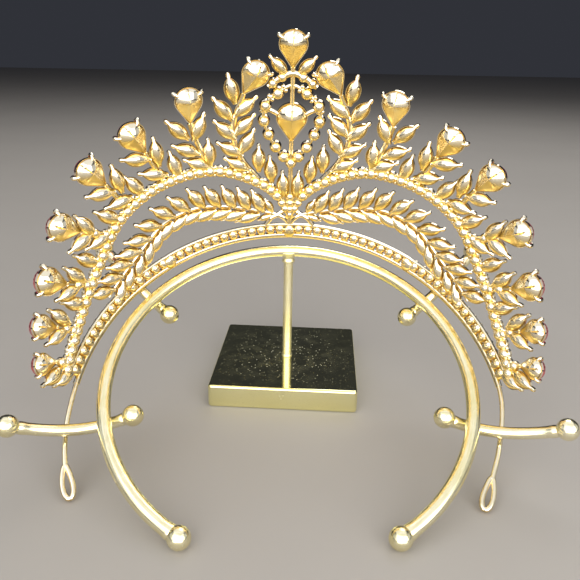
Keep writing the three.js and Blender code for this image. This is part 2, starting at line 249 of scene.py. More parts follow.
base_gold, shader, tap = new_finish("mirror_lemon_gold", {"IOR": 1.6})
place_on = tap.place()
cloud = place_on.noise(55.0, 3.0)
flat_place = place_on.scaled((1, 1, 0))
off_post = tap.node("ShaderNodeVectorMath", {"operation": "LENGTH"}, {0: flat_place}, "Value")
near_post = 1.0 - (off_post + 0.016 * cloud).step(0.010, 0.050)
spots = tap.node("ShaderNodeTexVoronoi", {}, {"Vector": place_on, "Scale": 850.0})
speck = (1.0 - spots.step(0.06, 0.26)) * spots.sibling("Color").step(0.35, 0.75)
haze = place_on.noise(190.0, 5.0, 0.65).step(0.40, 0.68)
dust = near_post * (0.85 * speck + 0.05 * haze) + 0.10 * speck
dust.step(0.0, 1.0).blend(cloud.blend(base_deep, base_bright), dust_colour).feed(shader, "Base Color")
(1.0 - dust).feed(shader, "Metallic")
(0.035 + 0.03 * cloud + 0.5 * dust).feed(shader, "Roughness")
(speck + 0.3 * cloud).bump(shader, 0.04, 0.0001)
base_block = rounded_block(base_side, base_height, base_corner, base_edge, base_turn)
make_piece("base", [base_block], base_gold, ["stand_base"], crease=50)

# Stand post: a drawn round rod of brass in lemon gold, with a turned ring at its foot and a flared collar
# on top, which is soldered to the underside of the hoop.
# radius and height, up the foot ring, the rod, the waist and the collar
post_profile = [
    (0, 9.0), (2.15, 9.0), (2.2, 9.4), (2.1, 9.7), (1.88, 9.9), (1.86, 10.4),
    (1.86, 49.6), (1.9, 50.0), (2.35, 50.2), (2.5, 50.6), (2.5, 51.2), (2.25, 51.6),
    (2.2, 52.2), (2.45, 53.0), (3.0, 53.8), (3.2, 54.3), (0, 54.3),
]


def drawn_gold(name, rough):
    """Lemon gold on drawn rod: fine streaks along its length, slow patches of tarnish and a few specks."""
    finish, shader, tap = new_finish(name, {"Metallic": 1.0, "IOR": 1.6})
    place_on = tap.place()
    streak = tap.read("lie", "Vector").scaled((0.03, 1.0, 1.0)).noise(9.0, 3.0)
    tarnish = place_on.noise(60.0, 3.0)
    speck = place_on.noise(1900.0, 1.0).step(0.70, 0.78)
    tint = (0.6 * tarnish + 0.4 * streak).step(0.35, 0.68)
    tint.blend((0.87, 0.78, 0.43, 1), (0.99, 0.93, 0.68, 1)).feed(shader, "Base Color")
    (rough + 0.12 * streak + 0.25 * speck).feed(shader, "Roughness")
    (streak + 0.3 * speck).bump(shader, 0.12, 0.0002)
    return finish


def round_turn(steps):
    """Angles of even steps, once round a circle."""
    return np.arange(steps) * 2 * math.pi / steps


def spun(profile, sides):
    """A profile of radius and height spun about the Z axis. Its lie is the height and the way round."""
    radius, height = np.array(profile).T[..., None]
    turn = round_turn(sides)
    grid = np.broadcast_arrays(radius * np.cos(turn), radius * np.sin(turn), height)
    lie = np.broadcast_arrays(height, np.cos(turn), np.sin(turn))
    return np.stack(grid, -1), np.stack(lie, -1)


post_gold = drawn_gold("satin_lemon_gold", 0.34)
make_piece("post", [spun(post_profile, 28)], post_gold, ["stand_post"], crease=45)

# Stand hoop: one length of polished tube bent into an open ring, plated in lemon gold and tilted back on
# the post. A ball closes each end, and both balls stand on the table.
hoop_radius, hoop_wire, hoop_top, hoop_tilt = 60.0, 2.25, 54.8, math.radians(27.4)
ball_radius = 3.47


def tipped(local, tilt, centre):
    """Points turned up about the X axis by tilt, then moved so that their own origin lies at centre."""
    c, s = math.cos(tilt), math.sin(tilt)
    return local @ np.array([[1, 0, 0], [0, c, s], [0, -s, c]]) + centre


def on_ring(angle, radius, height, tilt, centre):
    """Point of a tipped ring: angle from its top, radius from its centre, height above its plane."""
    local = np.broadcast_arrays(radius * np.sin(angle), radius * np.cos(angle), height)
    return tipped(np.stack(local, -1), tilt, centre)


hoop_rise = hoop_radius * math.sin(hoop_tilt)
hoop_centre = np.array([0, -hoop_radius * math.cos(hoop_tilt), hoop_top - hoop_rise])
hoop_up = tipped(np.array([0, 0, 1.0]), hoop_tilt, 0)


def hoop_point(angle, radius, height):
    """Point of the hoop's ring."""
    return on_ring(angle, radius, height, hoop_tilt, hoop_centre)


def tube(path, radius, up, sides=20, flat=1.0):
    """Round bar along a path (..., rows, 3): each row is a circle square to the path, and its ends are
    shut to points. up says where the circle's angle is counted from, and flat squeezes the circle along
    it. Its lie is the length run and the way round."""
    way = np.gradient(path, axis=-2)
    way /= np.linalg.norm(way, axis=-1, keepdims=True)
    side = np.cross(way, up)
    side /= np.linalg.norm(side, axis=-1, keepdims=True)
    rise = np.cross(side, way)
    turn = round_turn(sides)[:, None]
    ring = np.cos(turn) * side[..., None, :] + flat * np.sin(turn) * rise[..., None, :]
    wide = np.broadcast_to(radius, path.shape[:-1])[..., None, None]
    grid = path[..., None, :] + wide * ring
    ends = [np.broadcast_to(path[..., k, None, None, :], grid[..., :1, :, :].shape) for k in (0, -1)]
    grid = np.concatenate([ends[0], grid, ends[1]], -3)
    run = np.cumsum(np.linalg.norm(np.diff(path, axis=-2, prepend=path[..., :1, :]), axis=-1), -1)
    run = np.concatenate([run[..., :1], run, run[..., -1:]], -1)[..., None]
    lie = np.stack(np.broadcast_arrays(run, np.cos(turn[:, 0]), np.sin(turn[:, 0])), -1)
    return grid, lie


def ball(centre, radius, rows=18, sides=28):
    """Sphere about each centre (..., 3): latitude by longitude. Its lie is the way out."""
    lat = np.linspace(0, math.pi, rows)[:, None]
    turn = round_turn(sides)
    way = np.broadcast_arrays(np.sin(lat) * np.cos(turn), np.sin(lat) * np.sin(turn), np.cos(lat))
    way = np.stack(way, -1)
    grid = np.asarray(centre, float)[..., None, None, :] + radius * way
    return grid, np.broadcast_to(way, grid.shape)


def collared(length, radius, lip=0.28, wide=0.9):
    """Radius along a bar that swells to a small lip at both ends, where it enters its balls."""
    near = np.minimum(length, length[-1] - length)
    return radius + lip * np.exp(-((near - ball_radius + 0.1) / wide) ** 4)


stand_gold = drawn_gold("polished_lemon_gold", 0.15)
hoop_end = math.acos((ball_radius - hoop_top + hoop_rise) / hoop_rise)
sweep = np.linspace(-hoop_end, hoop_end, 220)
hoop_path = hoop_point(sweep, hoop_radius, 0.0)
hoop_bar = tube(hoop_path, collared((sweep + hoop_end) * hoop_radius, hoop_wire), hoop_up, sides=28)
hoop_balls = ball(hoop_path[[0, -1]], ball_radius)
make_piece("hoop", [hoop_bar, hoop_balls], stand_gold, ["stand_hoop"], crease=50)

# Cradle arms: four bent rods of the hoop's lemon gold with a ball on each end, soldered under the hoop with
# a bead of solder. The upper pair carries the tiara's band and the lower pair lies over its legs.
rod_radius, bead_half, bead_radius, bead_drop = 1.9, 1.9, 1.3, -2.6
# degrees round the hoop, reach of the near and the far ball, reach and height of the dip, bend
arm_rows = {
    "upper": (54.0, 54.4, 84.0, 50.0, -6.15, 0.0153),
    "lower": (103.8, 51.4, 87.1, 62.8, -4.68, 0.0178),
}
bead_run = np.linspace(-1, 1, 9)
for arm, (degrees, near, far, dip_at, dip, bend) in arm_rows.items():
    for hand, sign in (("left", -1), ("right", 1)):
        angle = sign * math.radians(degrees)
        reach = np.linspace(near, far, 48)
        path = hoop_point(angle, reach, dip + bend * (reach - dip_at) ** 2)
        across = hoop_point(angle + 0.5 * math.pi, 1.0, 0.0) - hoop_centre
        rod = tube(path, collared(reach - near, rod_radius, 0.16, 0.6), across)
        bead_path = hoop_point(angle, hoop_radius + bead_half * bead_run, bead_drop)
        bead = tube(bead_path, bead_radius * np.sqrt(1.02 - bead_run ** 2), across, sides=14)
        make_piece(f"arm_{arm}_{hand}", [rod, bead, ball(path[[0, -1]], ball_radius)], stand_gold,
                   [f"stand_arm_{arm}_{hand}"], crease=50)

# Tiara band: a flat ribbon below, a thin rail above and a row of round cups soldered between them, all cast
# brass plated in warm yellow gold. Each cup holds a small clear stone on the front. A wire leg with a loop
# for a hair pin is soldered to each end.
tiara_tilt, ring_radius, flare = math.radians(37), 72.5, math.radians(20)
band_back, band_top = -1.0, 63.8
band_turn, joint_at = 83, 48.0
cup_pitch, cup_size, band_cup_tall, end_cup_tall = 3.62, 1.18, 1.25, 1.38
ribbon_t, ribbon_half = -2.45, 0.95
rail_t, rail_half, rail_thick, end_rail_half, end_rail_out = 2.3, 0.58, 0.68, 0.6, -0.2
lump_t, lump_tall, lump_across, lump_thick, lump_out = -0.6, 2.6, 2.3, 1.35, -0.4
leg_wire, leg_flat, leg_drop, leg_from, lift_from, lift_over = 0.85, 0.85, -2.1, 79, 98, 20
loop_length, loop_wide = 10.5, 3.0
# Pale is painted light on faces that look up, amber the deep gold and painted shade on faces that look
# down, and brown painted shade in grooves.
amber, pale, painted_groove_shade = (0.97, 0.67, 0.15, 1), (0.88, 0.81, 0.64, 1), (0.36, 0.21, 0.05, 1)
tiara_centre = np.array([0, band_back - ring_radius * math.cos(tiara_tilt),
                         band_top - ring_radius * math.sin(tiara_tilt)])
tiara_up = tipped(np.array([0, 0, 1.0]), tiara_tilt, 0)
tiara_gold, shader, tap = new_finish("cast_yellow_gold_painted_light", {"Metallic": 1.0, "IOR": 1.6})
proud = tap.node("ShaderNodeSeparateXYZ", {}, {0: tap.read("lie", "Vector")})
tone = proud.sibling(1)
ripple = tap.place().noise(420.0, 2.0)
# Painted light and shade: faces that look up towards the boxes are painted pale and faces that look down
# amber. The blend also grows where the gold stands proud, with random tone and ripple.
lit = tap.read("skyward", "Fac").step(-0.25, 0.55)
plating_and_painted_light = (0.30 * proud + 0.20 * tone + 0.25 * ripple + 0.85 * lit).step(0.15, 1.35)
# Painted shade: in grooves and creases, where the gold is not proud, it is painted dark brown.
groove = 0.85 * (1.0 - proud.step(0.02, 0.30))
groove.blend(plating_and_painted_light.blend(amber, pale), painted_groove_shade).feed(shader, "Base Color")
(0.32 - 0.04 * proud - 0.20 * lit + 0.02 * ripple).feed(shader, "Roughness")
ripple.bump(shader, 0.025, 0.0003)


def wall(s, t, out):
    """Point of the tiara's flared wall: s is the arc along the band, t the way up the wall, out the height
    in front. The wall is a cone that leans out by the flare."""
    radius = ring_radius + t * math.sin(flare) + out * math.cos(flare)
    height = t * math.cos(flare) - out * math.sin(flare)
    return on_ring(s / ring_radius, radius, height, tiara_tilt, tiara_centre)


def spread(t):
    """How much longer the wall's ring is at height t than at the band."""
    return 1 + t * math.sin(flare) / ring_radius


def places(s, t, lean=0.0, side=1.0, size=1.0):
    """Places on the wall with their lean in degrees, side and size, each an array of the same length."""
    columns = (np.atleast_1d(np.asarray(v, float)) for v in (s, t, np.radians(lean), side, size))
    return np.stack(np.broadcast_arrays(*columns), -1)


def put(place, along, across, out):
    """Wall points reached from each place: along its lean and across it, at a height in front, all times
    its size."""
    s, t, lean, side, size = np.moveaxis(place.reshape(-1, 1, 1, 5), -1, 0)
    up, over = along * size, across * size
    over_s = (up * np.sin(lean) + over * np.cos(lean)) / spread(t)
    return wall(side * (s + over_s), t + up * np.cos(lean) - over * np.sin(lean), out * size)


def even(grid, proud, tone=0.5):
    """A shell whose lie is the same all over: how proud it stands, and its tone."""
    return grid, np.array([proud, tone, 0.0])


def with_tone(grid, proud):
    """A shell of copies with its lie: how proud each point stands, and one random tone for each copy."""
    tone = np.random.default_rng(len(grid)).random(len(grid))[:, None, None]
    return grid, np.stack(np.broadcast_arrays(proud, tone, 0.0), -1) * np.ones(grid.shape)


def swept(s, t_middle, t_half, out_half, out_middle=0.0):
    """A bar carried along the wall from s to s: its section is a rounded box, the 0.55 power of the cosine
    and of the sine, and its ends are shut to points."""
    turn = round_turn(16)
    box_t = t_middle + t_half * np.sign(np.cos(turn)) * np.abs(np.cos(turn)) ** 0.55
    box_out = out_middle + out_half * np.sign(np.sin(turn)) * np.abs(np.sin(turn)) ** 0.55
    grid = wall(s[:, None], box_t, box_out)
    ends = [np.broadcast_to(wall(s[k], t_middle, out_middle), (1, 16, 3)) for k in (0, -1)]
    return even(np.concatenate([ends[0], grid, ends[1]]), 0.75)


def round_cups(place, tall=1.0):
    """Round setting: a profile of radius and depth spun about each place, a bowl behind and a seat in
    front. tall stretches it along the lean."""
    reach = np.array([0, 0.5, 0.95, 1.28, 1.46, 1.5, 1.5, 1.34, 1.24, 0])[:, None]
    depth = np.array([-1.5, -1.42, -1.15, -0.7, -0.1, 0.1, 0.72, 0.82, 0.5, 0.5])[:, None]
    turn = round_turn(14)
    grid = put(place, tall * reach * np.cos(turn), reach * np.sin(turn), depth)
    # How proud each point stands: most in the middle, least at the rim, where the finish paints a little
    # shade.
    return with_tone(grid, np.clip(1.2 - reach / 1.5, 0, 1))


def band_point(angle, radius, height):
    """Point of the band's ring, with its angle in degrees."""
    return on_ring(np.radians(angle), radius, height, tiara_tilt, tiara_centre)


def leg_height(angle, lift):
    """Height of a leg above the band's plane: level at first, then rising by its lift."""
    return leg_drop + lift * np.clip((angle - lift_from) / lift_over, 0, 1)


band_end = math.radians(band_turn) * ring_radius
cup_s = np.arange(-28, 29) * cup_pitch
between = np.abs(cup_s) < joint_at
band_cups = places(cup_s[between], 0.35, 0, 1, cup_size)
end_cups = places(cup_s[~between], 0.3, 0, 1, cup_size)
lump_turn, lump_round = np.linspace(0, math.pi, 8)[:, None], round_turn(12)
lump_wide = np.sin(lump_turn) ** 0.6
lump_along = lump_tall * lump_wide * np.cos(lump_round)
lump_over = lump_across * lump_wide * np.sin(lump_round)
lump_depth = lump_out - lump_thick * np.cos(lump_turn)
solder_lumps = put(places([0.0, -joint_at, joint_at], lump_t), lump_along, lump_over, lump_depth)
band_shells = [
    swept(np.linspace(-band_end, band_end, 190), ribbon_t, ribbon_half, ribbon_half),
    swept(np.linspace(-joint_at, joint_at, 110), rail_t, rail_half, rail_thick),
    round_cups(band_cups, band_cup_tall),
    round_cups(end_cups, end_cup_tall),
    with_tone(solder_lumps, 0.6),
]
for sign in (-1, 1):
    end_rail = sign * np.linspace(joint_at, band_end - 0.4, 60)
    band_shells.append(swept(end_rail, rail_t, end_rail_half, end_rail_half, end_rail_out))
# side, reach half way and at the loop, the loop's angle and its lift
leg_rows = [(-1, 72.0, 72.2, 109.2, 0.3), (1, 68.8, 66.8, 114.0, 2.5)]
for sign, reach, loop_reach, loop_at, lift in leg_rows:
    loop_half = math.degrees(loop_length / 2 / loop_reach)
    angle = np.linspace(leg_from, loop_at - loop_half + 0.6, 50)
    bow_at = [leg_from, leg_from + 7, (band_turn + loop_at) / 2, loop_at - loop_half]
    bow = np.interp(angle, bow_at, [71.8, 71.5, reach, loop_reach])
    bow = np.convolve(np.pad(bow, 6, mode="edge"), np.ones(13) / 13, mode="valid")
    turn = np.linspace(0, 2 * math.pi, 41)
    loop_angle = loop_at + loop_half * np.cos(turn)
    loop_out = loop_reach + loop_wide / 2 * np.sin(turn) * (1 + 0.35 * np.cos(turn))
    leg_path = band_point(sign * angle, bow, leg_height(angle, lift))
    loop_path = band_point(sign * loop_angle, loop_out, leg_height(loop_angle, lift))
    for path in (leg_path, loop_path):
        band_shells.append(even(tube(path, leg_wire, tiara_up, 12, leg_flat)[0], 0.32, 0.0))
make_piece("band", band_shells, tiara_gold, ["tiara_band"], crease=48)

# Small clear stones: round cut glass with a foil back, some facets painted bright and others dull as
# painted glints.
# One is pressed into each round cup and held by its rim.
round_stone_radius = 1.3


def cut_glass(name, ior, dull, bright, foil, foil_more):
    """Foil backed cut glass: each facet's random glint paints its colour from dull to bright as painted
    reflection, and shows more of the foil.
    """
    finish, shader, tap = new_finish(name, {"IOR": ior, "Coat Weight": 1.0, "Coat Roughness": 0.02})
    glint = tap.read("glint", "Fac")
    glint.blend(dull, bright).feed(shader, "Base Color")
    (foil + foil_more * glint).feed(shader, "Metallic")
    (0.03 + 0.05 * glint).feed(shader, "Roughness")
    return finish


def gems(place, edge, columns, shares, heights, middle):
    """Cut stones: rings of the outline edge(angle), drawn in by shares at heights, each turned half a facet
    on the last."""
    half_step = math.pi / columns
    angle = np.arange(columns) * 2 * half_step + (np.arange(len(shares)) % 2)[:, None] * half_step
    along, across = edge(angle)
    share = np.array(shares)[:, None]
    return put(place, middle + share * along, share * across, np.array(heights)[:, None])


def round_edge(angle):
    """Circle of a small round stone."""
    return round_stone_radius * np.cos(angle), round_stone_radius * np.sin(angle)


def round_stones(place):
    """Round stones of eight facets a ring."""
    return gems(place, round_edge, 8, [0, 1.0, 0.8, 0.5, 0], [0.5, 0.7, 1.0, 1.25, 1.28], 0.0)


crystal = cut_glass("clear_foil_glass_painted_glints", 1.55, (0.55, 0.57, 0.60, 1), (0.98, 0.99, 1.0, 1), 0.55, 0.4)
band_stones = round_stones(np.concatenate([band_cups, end_cups]))
make_piece("band_stones", [band_stones], crystal, ["tiara_band"], facets=True)

# Leaf sprays, one for each side: a row of cups bent into an arch, sprigs that end in a drop, single leaves
# between them and a long leaf branch below, all soldered. Each leaf is a keeled boat of cast gold with a
# claw at its tip, and each drop a pear shaped cup with two claws.
arch_knots = [
    (3.7, 14.2), (9.8, 20.4), (24, 28.3), (41, 29.8), (57, 26), (72, 16.4), (88, 8.4), (103, 4.0),
]
branch_knots = [(4.3, 6.6), (13, 9.4), (24, 13.4), (34, 15.8), (45, 15.0), (58, 9.2), (74, 4.2)]
# root, tip s, tip t, bow, drop's lean and size
sprig_rows = [
    (8, 13, 54.4, 5.5, -36, 1), (25, 28.4, 47.6, 0.5, -8, 1), (40, 42.6, 43, 0, 17, 1),
    (53.5, 56.4, 39.4, 0, 21, 1), (62, 69.4, 31.4, 0, 36, 1), (76.5, 82.2, 21.6, 0, 32, 1),
    (90.5, 94, 15.4, 0, 30, 0.86), (100.5, 103, 9.6, 0, 33, 0.8),
]
# single leaves: s, t and lean, in the order of the sprigs that they stand on
single_rows = [
    (15.6, 52.3, 7), (17.2, 46.6, 32), (16.9, 39.5, 40), (15.6, 33, 53), (13.8, 27, 55), (15.6, 47.5, -54),
    (16.2, 40.8, -49), (15.2, 33.8, -34), (10.2, 26.3, -3), (6.2, 21.6, 3), (2.2, 15.4, 3),
    (30.2, 43.2, 36), (28.3, 36.6, 56), (25.8, 30.6, 58), (28.2, 42, -32), (25.2, 31.4, -6),
    (42.6, 40.6, 66), (39.3, 33, 64), (40.0, 37.6, -6), (35.4, 31, 5),
    (55.6, 36.4, 68), (51.6, 31, 82), (53.0, 35.2, -3), (47.6, 30.4, 23),
    (67.6, 28.6, 89), (62.8, 24, 84), (66.6, 28.2, 12), (58, 26.4, 37), (71, 18.6, 29),
    (80.3, 17.6, 68), (77.6, 17.4, 14), (82.6, 11.2, 33), (92.8, 12, 64), (90.6, 12.6, 8),
    (104.2, 6.8, 58), (102.4, 1.5, 55),
]
# leaf rows of the branch: first leaf, how many, their turn from the branch, size, shift under the branch
branch_rows = [(5.2, 13, -50, 1.0, 0.0), (6.4, 12, 27, 0.95, 1.1)]
arch_first, arch_step, branch_step = 1.2, 3.2, 5.4
arch_stem, branch_stem, foot_stem, tie_stem = 1.15, 0.6, 1.1, 0.85
sprig_root, sprig_tip, low_sprigs = 0.85, 1.0, 60
arch_cup_size, joint_cup_size, knob_apart, knob_radius = 1.4, 1.1, 1.5, 0.72
leaf_length, leaf_width, leaf_keel, leaf_start, single_start = 9.2, 5.0, 2.0, 0.4, -0.8
pear_length, pear_width, pear_tail, pear_back = 12.2, 9.2, 0.8, 2.6
pear_middle, claw_angle = pear_length - pear_width / 2, 1.02


def through(knots, per_span=24):
    """Smooth line through knots of s and t: each span is the cubic whose slope at a knot is half the step
    from the knot before to the knot after. The end knots count twice."""
    k = np.asarray(knots, float)
    p0, p1, p2, p3 = np.vstack([k[:1], k[:-2]]), k[:-1], k[1:], np.vstack([k[2:], k[-1:]])
    u = np.linspace(0, 1, per_span, endpoint=False)[:, None, None]
    bend = 2 * p0 - 5 * p1 + 4 * p2 - p3 + u * (3 * p1 - p0 - 3 * p2 + p3)
    span = p1 + 0.5 * u * (p2 - p0 + u * bend)
    return np.vstack([np.swapaxes(span, 0, 1).reshape(-1, 2), k[-1:]])


def line_length(line):
    """Length from the start to each point of a line."""
    return np.concatenate([[0], np.cumsum(np.hypot(*np.diff(line, axis=0).T))])


def along_line(line, distance):
    """s, t and lean in degrees at distances along a line."""
    run = line_length(line)
    way = np.gradient(line, axis=0)
    s, t, ds, dt = (np.interp(distance, run, v) for v in (*line.T, *way.T))
    return s, t, np.degrees(np.arctan2(ds * spread(t), dt))


def wall_bar(line, radius, side, sides=10, out=0.0):
    """Round stem along a line of s and t on one side of the wall."""
    path = wall(side * line[:, 0], line[:, 1], out)
    up = wall(side * line[:, 0], line[:, 1], out + 1.0) - path
    return even(tube(path, radius, up, sides)[0], 0.55)


def knob_pairs(place, apart, radius):
    """Small balls, one on each side of every place."""
    centres = put(place, 0.0, np.array([[-apart, apart]]), 0.0)
    return even(ball(centres.reshape(-1, 3), radius, 7, 8)[0], 0.8)


def leaf_boats(place, start):
    """Keeled boats: a section of rim, groove and ridge, carried along the leaf. Its half width is that of
    a marquise, one minus the 2.4 power of the distance from the middle, with a neck at the stem and a claw
    past the tip. The keel falls off with the square of that distance."""
    x = np.array([-0.4, -0.2, 0.4, 1.1, 2.1, 3.3, 4.5, 5.7, 6.9, 8.1, 9.1, 9.8, 10.5, 11.2, 11.7, 11.85])
    x = x[:, None] * (leaf_length / 10.4)
    u = np.clip(2 * x / leaf_length - 1, -1, 1)
    claw_at = [-0.4, -0.3, 0.7, 8.2, 8.7, 9.9, 10.3, 10.5]
    claw = np.interp(x, claw_at, [0, 0.8, 1.1, 0.4, 0.62, 0.66, 0.5, 0])
    wide = np.maximum(leaf_width / 2 * (1 - np.abs(u) ** 2.4), claw)
    wide[[0, -1]] = 0
    deep = leaf_keel * np.where(u < 0, 1 - 0.7 * u ** 2, (1 - u ** 2) ** 0.7)
    v = np.array([1, 1, 0.88, 0.72, 0.4, 0, -0.4, -0.72, -0.88, -1, -1, 0])
    rim = np.array([0.5, -0.16, -0.1, 0, 0, 0, 0, 0, -0.1, -0.16, 0.5, 0.42])
    ridge = np.array([0, 0, 0.04, 0.52, 0.87, 1, 0.87, 0.52, 0.04, 0, 0, 0])
    lift = np.interp(x, [7.8, 9.2, 10.5], [0, 0.15, 0.5])
    thick = np.interp(x, [-0.4, 0.6, 8.3, 9.2], [1.2, 1.0, 1.0, 1.4])
    out = rim * thick - (0.1 + deep) * ridge + lift - 0.3 * (np.abs(u) > 0.97) * ridge
    out[[0, -1]] = lift[[0, -1]]
    # How proud each point stands: nought in the groove between rim and keel, where the finish paints shade.
    proud = np.clip(ridge ** 2 + 0.4 * (np.abs(v) > 0.95), 0, 1) * np.ones(x.shape)
    return with_tone(put(place, start + x, v * wide, out), proud)


def from_round_end(angle):
    """Angle from the middle of a pear's round end, without its sign."""
    return np.abs((angle + math.pi) % (2 * math.pi) - math.pi)


def pear_edge(angle):
    """Pear outline about the middle of its round end: a circle, and past its tangent points two lines to
    the tip."""
    radius = pear_width / 2
    tip = pear_middle + pear_tail
    shoulder = math.pi / 2 + math.asin(radius / tip)
    away = from_round_end(angle)
    reach = np.where(away < shoulder, radius, radius / np.cos(np.maximum(away - shoulder, 0)))
    return reach * np.cos(angle), reach * np.sin(angle)


def pear_cups(place):
    """Pear settings: rings of the pear outline from the point of the back out to the rim, then the seat in
    front. The back falls as one minus a power of the ring's share, flat on the two sides and full on the
    round end, which a seam groove parts in two; the finish paints the seam dark as shade."""
    angle = round_turn(36)
    along, across = pear_edge(angle)
    full = 1.12 + 0.9 / (1 + np.exp((from_round_end(angle) - 1.75) / 0.07))
    share = np.array([0, 0.12, 0.3, 0.5, 0.7, 0.84, 0.93, 0.94, 1.0, 1.0, 0.93, 0.86, 0])[:, None]
    seam = np.exp(-(angle / 0.1) ** 2)
    bowl = -pear_back * (1 - share ** full) * (1 - 0.3 * seam * np.sin(math.pi * share))
    front = np.array([0, 0, 0, 0, 0, 0, 0, -0.12, -0.16, 0.7, 0.8, 0.5, 0.5])[:, None]
    bowl_rows = 7
    out = np.where(np.arange(len(share))[:, None] < bowl_rows, bowl, front)
    # How proud each ring stands: nought at the crease behind the rim, in the seat in front and along the
    # seam, where the finish paints shade.
    proud = np.array([1, 0.9, 0.8, 0.7, 0.6, 0.5, 0.1, 0, 1, 1, 1, 0.2, 0])[:, None]
    proud = proud * np.where((share > 0.2) & (share < 0.9), 1 - seam, 1)
    return with_tone(put(place, pear_middle + share * along, share * across, out), proud)


def pear_claws(place):
    """Two claws on the shoulders of each pear: a short bar that bends from the back round the rim to the
    front."""
    share = np.array([0.80, 0.96, 1.09, 1.15, 1.12, 1.02, 0.92])[:, None]
    out = np.array([-0.75, -0.55, -0.05, 0.7, 1.4, 1.9, 2.0])[:, None]
    radius = np.array([0.3, 0.5, 0.66, 0.7, 0.62, 0.5, 0.3])

    def bent(angle):
        """The claw's line at an angle round the pear."""
        along, across = pear_edge(np.array(angle))
        return put(place, pear_middle + share * along, share * across, out)[:, :, 0]

    shells = []
    for angle in (-claw_angle, claw_angle):
        path = bent(angle)
        claw = tube(path, radius * place[:, 4:], bent(angle + 0.1) - path, sides=10)[0]
        shells.append(with_tone(claw, 0.9))
    return shells


arch_line, branch_line = through(arch_knots), through(branch_knots)
arch_run = line_length(arch_line)[-1]
foot_line = through([arch_knots[0], (2.8, 12.0), (1.4, 9.2), (0.3, 7.0)], 5)
tie_line = through([(0.6, 8.6), (2.6, 7.9), (4.5, 6.7)], 6)
bow_line = through([(0.2, 3.0), (2.2, 5.4), (4.3, 6.5), (6.6, 5.5), (8.9, 2.7)], 6)
spray_leaves, spray_drops = {}, {}
for hand, sign in (("left", -1), ("right", 1)):
    arch_at = along_line(arch_line, np.arange(arch_first, arch_run, arch_step))
    gaps_at = along_line(arch_line, np.arange(arch_first + arch_step / 2, arch_run, arch_step))
    foot_cups = places([2.9, 1.7], [12.0, 9.6], 0, sign, joint_cup_size)
    cups = [places(*arch_at, sign, arch_cup_size), foot_cups]
    leaves = [(places(*np.array(single_rows, float).T, sign), single_start)]
    for first, count, turned, size, under in branch_rows:
        s, t, lean = along_line(branch_line, first + np.arange(count) * branch_step)
        s, t = s + under * np.cos(np.radians(lean)), t - under * np.sin(np.radians(lean))
        leaves.append((places(s, t, lean + turned, sign, size), leaf_start))
    leaves.append((places([6.2, 6.8], [8.0, 6.6], [25, 108], sign, [0.62, 0.55]), 0.0))
    shells = [
        wall_bar(arch_line[::3], arch_stem, sign, 8, 0.2),
        knob_pairs(places(*gaps_at, sign), knob_apart, knob_radius),
        wall_bar(branch_line[::3], branch_stem, sign, out=0.5),
        wall_bar(foot_line, foot_stem, sign),
        wall_bar(tie_line, tie_stem, sign, out=0.2),
        wall_bar(bow_line, tie_stem, sign),
    ]
    drops = []
    for root, tip_s, tip_t, bow, drop_lean, size in sprig_rows:
        root_t = float(np.interp(root, *arch_line.T))
        knots = np.linspace((root, root_t), (tip_s, tip_t), 4) + np.outer((0, bow, bow, 0), (1, 0))
        line = through(knots, 12)
        shells.append(wall_bar(line, np.linspace(sprig_root, sprig_tip, len(line)), sign, out=0.4))
        drops.append(places(tip_s, tip_t, drop_lean, sign, size))
        if root > low_sprigs:
            joints = line[[len(line) // 5, len(line) * 11 // 20]]
            cups.append(places(*joints.T, 0, sign, joint_cup_size))
    cups, drops = np.concatenate(cups), np.concatenate(drops)
    shells.append(round_cups(cups))
    shells += [leaf_boats(place, start) for place, start in leaves]
    shells += [pear_cups(drops), *pear_claws(drops)]
    spray_leaves[hand], spray_drops[hand] = leaves, drops
    node = f"tiara_spray_{hand}"
    make_piece(f"spray_{hand}", shells, tiara_gold, [node])
    make_piece(f"spray_{hand}_clear_stones", [round_stones(cups)], crystal, [node], facets=True)

# Red stones: marquise and pear cut glass over a red foil, with painted glints that make some facets dark
# and others bright.
# A marquise is pressed into the front of each leaf, and a pear sits in each drop under its claws.
leaf_stone_share = 0.92
ruby = cut_glass("ruby_foil_glass_painted_glints", 1.7, (0.16, 0.0, 0.012, 1), (0.80, 0.015, 0.05, 1), 0.35, 0.45)


def leaf_edge(angle):
    """Marquise outline: x is the cosine, and the half width one minus its 2.2 power."""
    x = np.cos(angle)
    half_width = np.sign(np.sin(angle)) * (1 - np.abs(x) ** 2.2)
    return leaf_stone_share * leaf_length / 2 * x, leaf_stone_share * leaf_width / 2 * half_width


def leaf_stones(place, start):
    """Marquise stones of twelve facets a ring."""
    middle = start + leaf_length / 2
    return gems(place, leaf_edge, 12, [0, 1.0, 0.78, 0.48, 0], [0.35, 0.55, 0.95, 1.2, 1.22], middle)


def pear_stones(place):
    """Pear stones of twenty facets a ring."""
    return gems(place, pear_edge, 20, [0, 0.98, 0.84, 0.56, 0], [0.55, 0.95, 2.35, 3.1, 3.15], pear_middle)


for hand in ("left", "right"):
    marquises = [leaf_stones(place, start) for place, start in spray_leaves[hand]]
    make_piece(f"spray_{hand}_leaf_stones", marquises, ruby, [f"tiara_spray_{hand}"], facets=True)
    make_piece(f"drops_{hand}", [pear_stones(spray_drops[hand])], ruby,
               [f"stone_{hand}_{i}" for i in range(1, 9)], facets=True)

